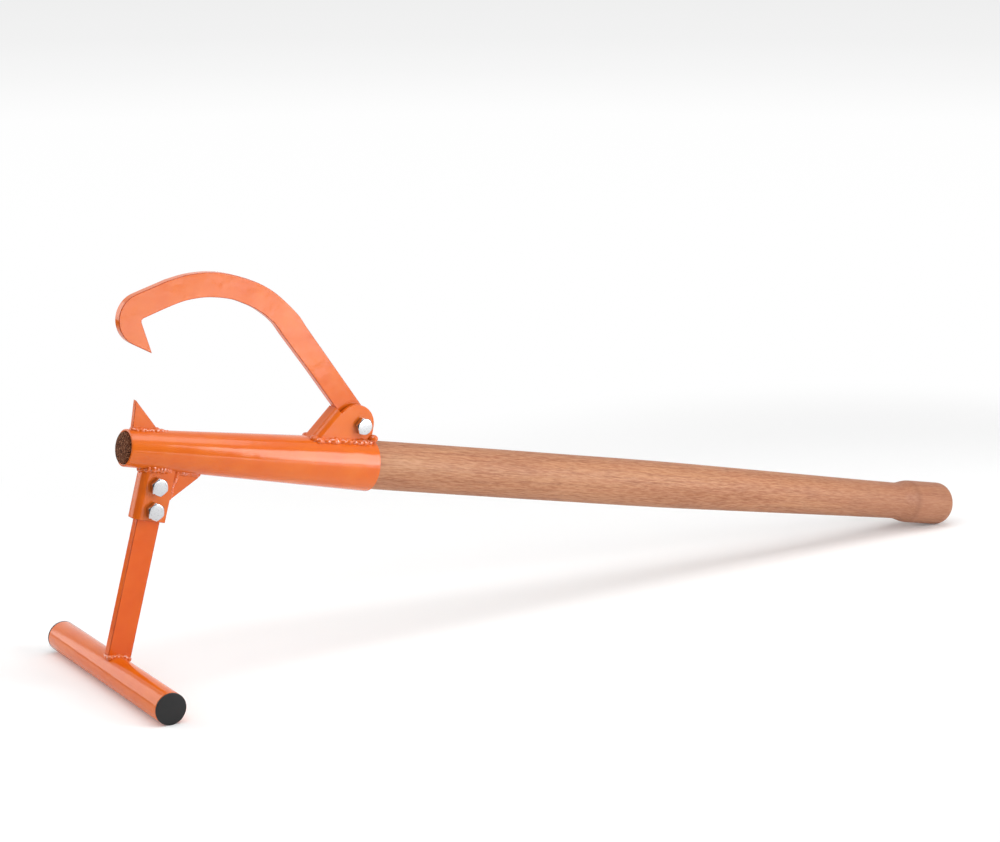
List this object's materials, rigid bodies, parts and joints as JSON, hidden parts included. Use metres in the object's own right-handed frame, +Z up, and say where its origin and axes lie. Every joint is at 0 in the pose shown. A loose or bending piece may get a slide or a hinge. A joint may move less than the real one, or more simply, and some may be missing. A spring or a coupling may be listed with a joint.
{
  "type": "log lifter",
  "caption": "Timber lever with a turned wooden handle in a tapered steel socket, a swinging log hook over an upright spike, and a T-shaped foot that holds the log clear of the ground.",
  "frame": {"origin": "on the floor plane, centred in length and width under the standing tool", "axes": "+X horizontal from the socket mouth and foot towards the knob, +Y across the tool towards the nuts, +Z up"},
  "size_m": [1.176, 0.2706, 0.4237],
  "materials": {
    "paint": "glossy orange enamel over steel and weld beads",
    "plating": "bright zinc plating on bolts, nuts and screw",
    "wood": "clear satin varnish on turned hardwood, grain along the handle, dark end grain",
    "plug": "satin black moulded plastic",
    "nut_ring": "off-white nylon locking ring"
  },
  "bodies": {
    "lifter": {"handle": "wood", "socket": "paint", "handle_screw": "plating", "spike": "paint", "spike_weld": "paint", "hook_bracket": "paint", "hook_bracket_weld": "paint", "hook_bolt": "plating", "hook_nut": "plating", "hook_nut_insert": "nut_ring", "leg_bracket": "paint", "leg_bracket_weld": "paint", "leg_gusset": "paint", "gusset_weld": "paint", "leg_bar": "paint", "leg_upper_bolt": "plating", "leg_upper_nut": "plating", "leg_upper_nut_insert": "nut_ring", "leg_lower_bolt": "plating", "leg_lower_nut": "plating", "leg_lower_nut_insert": "nut_ring", "leg_foot_weld": "paint", "cross_tube": "paint", "end_plug_far": "plug", "end_plug_near": "plug"},
    "log_hook": {"hook": "paint"}
  },
  "joints": [
    {"name": "hook_pivot", "type": "hinge", "parent": "lifter", "child": "log_hook", "pos_m": [-0.28052, 0, 0.24173], "axis": [0, 1, 0], "range_deg": [0, 120]}
  ]
}
